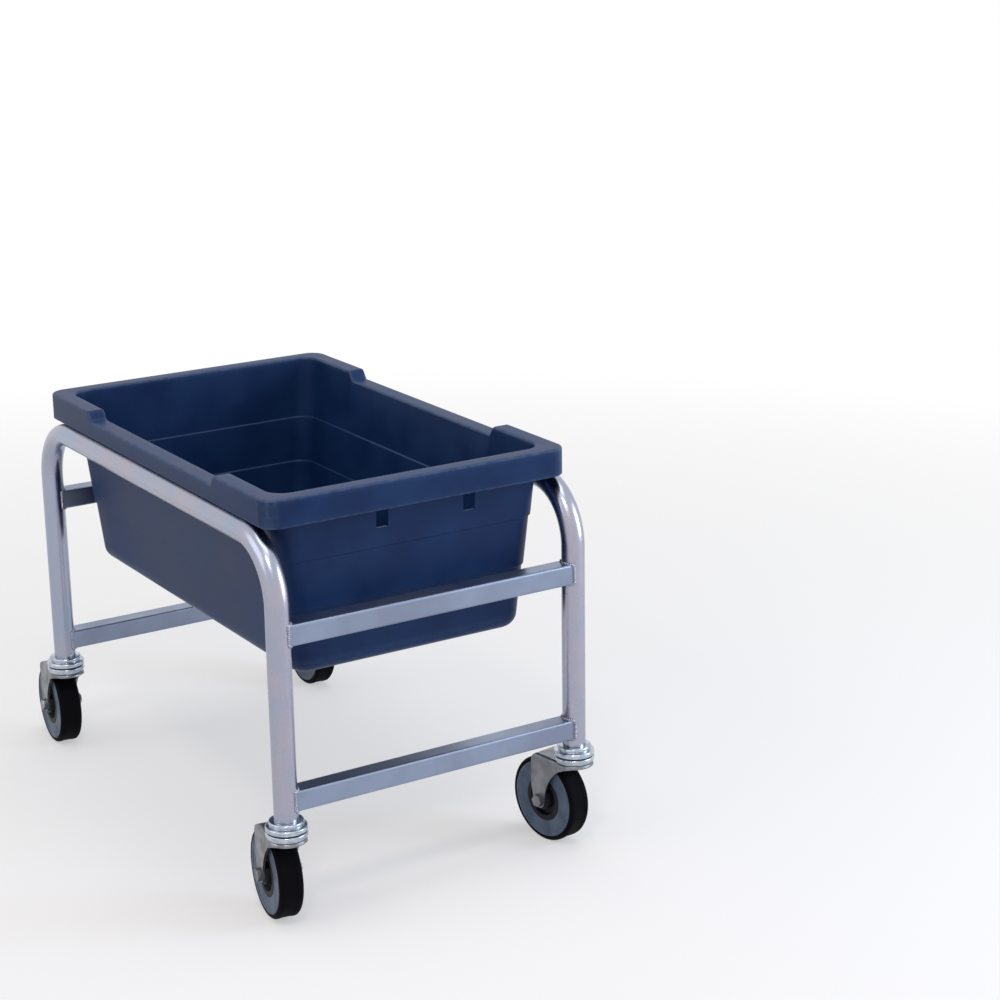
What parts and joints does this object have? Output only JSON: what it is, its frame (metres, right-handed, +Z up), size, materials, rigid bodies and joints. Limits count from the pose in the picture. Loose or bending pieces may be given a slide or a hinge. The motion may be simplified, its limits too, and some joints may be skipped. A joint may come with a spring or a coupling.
{
  "type": "meat lug cart",
  "caption": "Welded tube cart on swivel castors that carries a removable moulded tote by its rim.",
  "frame": {"origin": "floor level, under the middle of the object's box", "axes": "+X along the rails to the front end, +Y to the left side, +Z up out of the lug"},
  "size_m": [0.7837, 0.4571, 0.5156],
  "materials": {
    "frame_tube": "satin",
    "crossbar": "satin",
    "stem_socket": "zinc plated",
    "castor_pin": "zinc plated",
    "castor_race": "zinc plated",
    "bearing_ball": "polished",
    "castor_fork": "zinc plated",
    "axle_fastener": "zinc plated",
    "axle_sleeve": "zinc plated",
    "wheel_core": "moulded",
    "tyre": "moulded rubber",
    "lug": "moulded"
  },
  "bodies": {
    "root": {"right_side_frame": "frame_tube", "left_side_frame": "frame_tube", "front_lower_crossbar": "crossbar", "front_upper_crossbar": "crossbar", "rear_lower_crossbar": "crossbar", "rear_upper_crossbar": "crossbar", "stem_sockets": "stem_socket", "kingpins": "castor_pin", "upper_races": "castor_race", "ball_rings": "bearing_ball"},
    "lug": {"lug_tub": "lug"},
    "castor_front_right": {"fork_front_right": "castor_fork", "lower_race_front_right": "castor_race", "axle_bolt_front_right": "axle_fastener", "axle_nut_front_right": "axle_fastener", "axle_sleeve_front_right": "axle_sleeve"},
    "wheel_front_right": {"wheel_core_front_right": "wheel_core", "tyre_front_right": "tyre"},
    "castor_front_left": {"fork_front_left": "castor_fork", "lower_race_front_left": "castor_race", "axle_bolt_front_left": "axle_fastener", "axle_nut_front_left": "axle_fastener", "axle_sleeve_front_left": "axle_sleeve"},
    "wheel_front_left": {"wheel_core_front_left": "wheel_core", "tyre_front_left": "tyre"},
    "castor_rear_right": {"fork_rear_right": "castor_fork", "lower_race_rear_right": "castor_race", "axle_bolt_rear_right": "axle_fastener", "axle_nut_rear_right": "axle_fastener", "axle_sleeve_rear_right": "axle_sleeve"},
    "wheel_rear_right": {"wheel_core_rear_right": "wheel_core", "tyre_rear_right": "tyre"},
    "castor_rear_left": {"fork_rear_left": "castor_fork", "lower_race_rear_left": "castor_race", "axle_bolt_rear_left": "axle_fastener", "axle_nut_rear_left": "axle_fastener", "axle_sleeve_rear_left": "axle_sleeve"},
    "wheel_rear_left": {"wheel_core_rear_left": "wheel_core", "tyre_rear_left": "tyre"}
  },
  "joints": [
    {"name": "swivel_front_right", "type": "hinge", "parent": "root", "child": "castor_front_right", "pos_m": [0.3665, -0.2, 0.118], "axis": [0, 0, 1], "continuous": true},
    {"name": "roll_front_right", "type": "hinge", "parent": "castor_front_right", "child": "wheel_front_right", "pos_m": [0.32392, -0.19402, 0.055], "axis": [0.1392, 0.9903, 0], "continuous": true},
    {"name": "swivel_front_left", "type": "hinge", "parent": "root", "child": "castor_front_left", "pos_m": [0.3665, 0.2, 0.118], "axis": [0, 0, 1], "continuous": true},
    {"name": "roll_front_left", "type": "hinge", "parent": "castor_front_left", "child": "wheel_front_left", "pos_m": [0.32403, 0.19327, 0.055], "axis": [-0.1564, 0.9877, 0], "continuous": true},
    {"name": "swivel_rear_right", "type": "hinge", "parent": "root", "child": "castor_rear_right", "pos_m": [-0.2935, -0.2, 0.118], "axis": [0, 0, 1], "continuous": true},
    {"name": "roll_rear_right", "type": "hinge", "parent": "castor_rear_right", "child": "wheel_rear_right", "pos_m": [-0.33634, -0.19625, 0.055], "axis": [0.0872, 0.9962, 0], "continuous": true},
    {"name": "swivel_rear_left", "type": "hinge", "parent": "root", "child": "castor_rear_left", "pos_m": [-0.2935, 0.2, 0.118], "axis": [0, 0, 1], "continuous": true},
    {"name": "roll_rear_left", "type": "hinge", "parent": "castor_rear_left", "child": "wheel_rear_left", "pos_m": [-0.33647, 0.2015, 0.055], "axis": [0.0349, 0.9994, 0], "continuous": true},
    {"name": "lug_lift", "type": "slide", "parent": "root", "child": "lug", "axis": [0, 0, 1], "range_m": [0, 0.26]}
  ]
}
